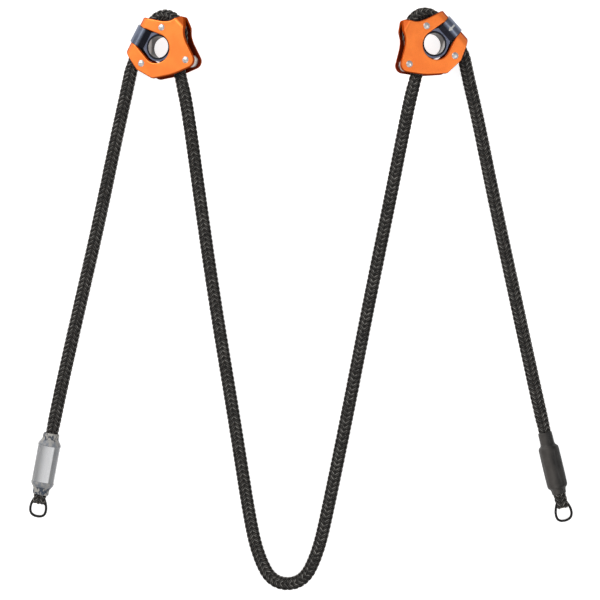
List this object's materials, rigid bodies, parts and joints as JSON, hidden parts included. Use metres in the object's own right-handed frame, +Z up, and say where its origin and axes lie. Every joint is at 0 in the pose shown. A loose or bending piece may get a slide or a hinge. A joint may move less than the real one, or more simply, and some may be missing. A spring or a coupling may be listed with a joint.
{
  "type": "rope grab",
  "caption": "Double-ended positioning lanyard: a braided rope carrying two sliding rope grabs with a connector eye, and a shrink-covered end stop with a pull cord at each free end.",
  "frame": {"origin": "on the ground, in the middle of the two grabs", "axes": "+X from the left grab to the right grab, +Y from the bottom of the rope's loop towards the grabs, +Z up from the ground"},
  "size_m": [0.4974, 0.5306, 0.0422],
  "materials": {
    "anodised_plate": "satin orange anodising, fine rolled grain",
    "anodised_cam": "satin dark blue-grey anodising",
    "bush": "bare turned steel",
    "rivet": "polished low dome",
    "spacer": "bare turned steel",
    "roller": "satin",
    "rope": "charcoal braid with pale flecks",
    "pull_cord": "thin black braid",
    "ferrule": "satin",
    "blank_label": "blank silver foil",
    "clear_sleeve": "translucent grey shrunk film",
    "rubber_sleeve": "satin black shrunk rubber"
  },
  "bodies": {
    "lanyard": {"left_frame": "anodised_plate", "left_top_pin": "rivet", "left_lower_pin": "rivet", "left_roller_axle": "rivet", "right_frame": "anodised_plate", "right_top_pin": "rivet", "right_lower_pin": "rivet", "right_roller_axle": "rivet", "rope": "rope", "left_ferrule": "ferrule", "left_label": "blank_label", "left_sleeve": "clear_sleeve", "left_pull_cord": "pull_cord", "right_ferrule": "ferrule", "right_sleeve": "rubber_sleeve", "right_pull_cord": "pull_cord"},
    "left_cam": {"left_cam": "anodised_cam", "left_eye_bush": "bush"},
    "left_top_sleeve": {"left_top_sleeve": "spacer"},
    "left_lower_sleeve": {"left_lower_sleeve": "spacer"},
    "left_roller": {"left_roller": "roller"},
    "right_cam": {"right_cam": "anodised_cam", "right_eye_bush": "bush"},
    "right_top_sleeve": {"right_top_sleeve": "spacer"},
    "right_lower_sleeve": {"right_lower_sleeve": "spacer"},
    "right_roller": {"right_roller": "roller"}
  },
  "joints": [
    {"name": "left_cam_slide", "type": "slide", "parent": "lanyard", "child": "left_cam", "axis": [-0.7931, 0.5075, -0.3367], "range_m": [-0.0018, 0]},
    {"name": "left_top_sleeve_spin", "type": "hinge", "parent": "lanyard", "child": "left_top_sleeve", "pos_m": [-0.11964, 0.01434, 0.02142], "axis": [-0.3907, 0, 0.9205], "continuous": true},
    {"name": "left_lower_sleeve_spin", "type": "hinge", "parent": "lanyard", "child": "left_lower_sleeve", "pos_m": [-0.13851, -0.01746, 0.01341], "axis": [-0.3907, 0, 0.9205], "continuous": true},
    {"name": "left_roller_spin", "type": "hinge", "parent": "lanyard", "child": "left_roller", "pos_m": [-0.09746, -0.01596, 0.03083], "axis": [-0.3907, 0, 0.9205], "continuous": true},
    {"name": "right_cam_slide", "type": "slide", "parent": "lanyard", "child": "right_cam", "axis": [0.6938, 0.6921, -0.1989], "range_m": [-0.0018, 0]},
    {"name": "right_top_sleeve_spin", "type": "hinge", "parent": "lanyard", "child": "right_top_sleeve", "pos_m": [0.11423, 0.0159, 0.0193], "axis": [-0.2756, 0, -0.9613], "continuous": true},
    {"name": "right_lower_sleeve_spin", "type": "hinge", "parent": "lanyard", "child": "right_lower_sleeve", "pos_m": [0.14044, -0.01033, 0.01179], "axis": [-0.2756, 0, -0.9613], "continuous": true},
    {"name": "right_roller_spin", "type": "hinge", "parent": "lanyard", "child": "right_roller", "pos_m": [0.09839, -0.01913, 0.02385], "axis": [-0.2756, 0, -0.9613], "continuous": true}
  ]
}
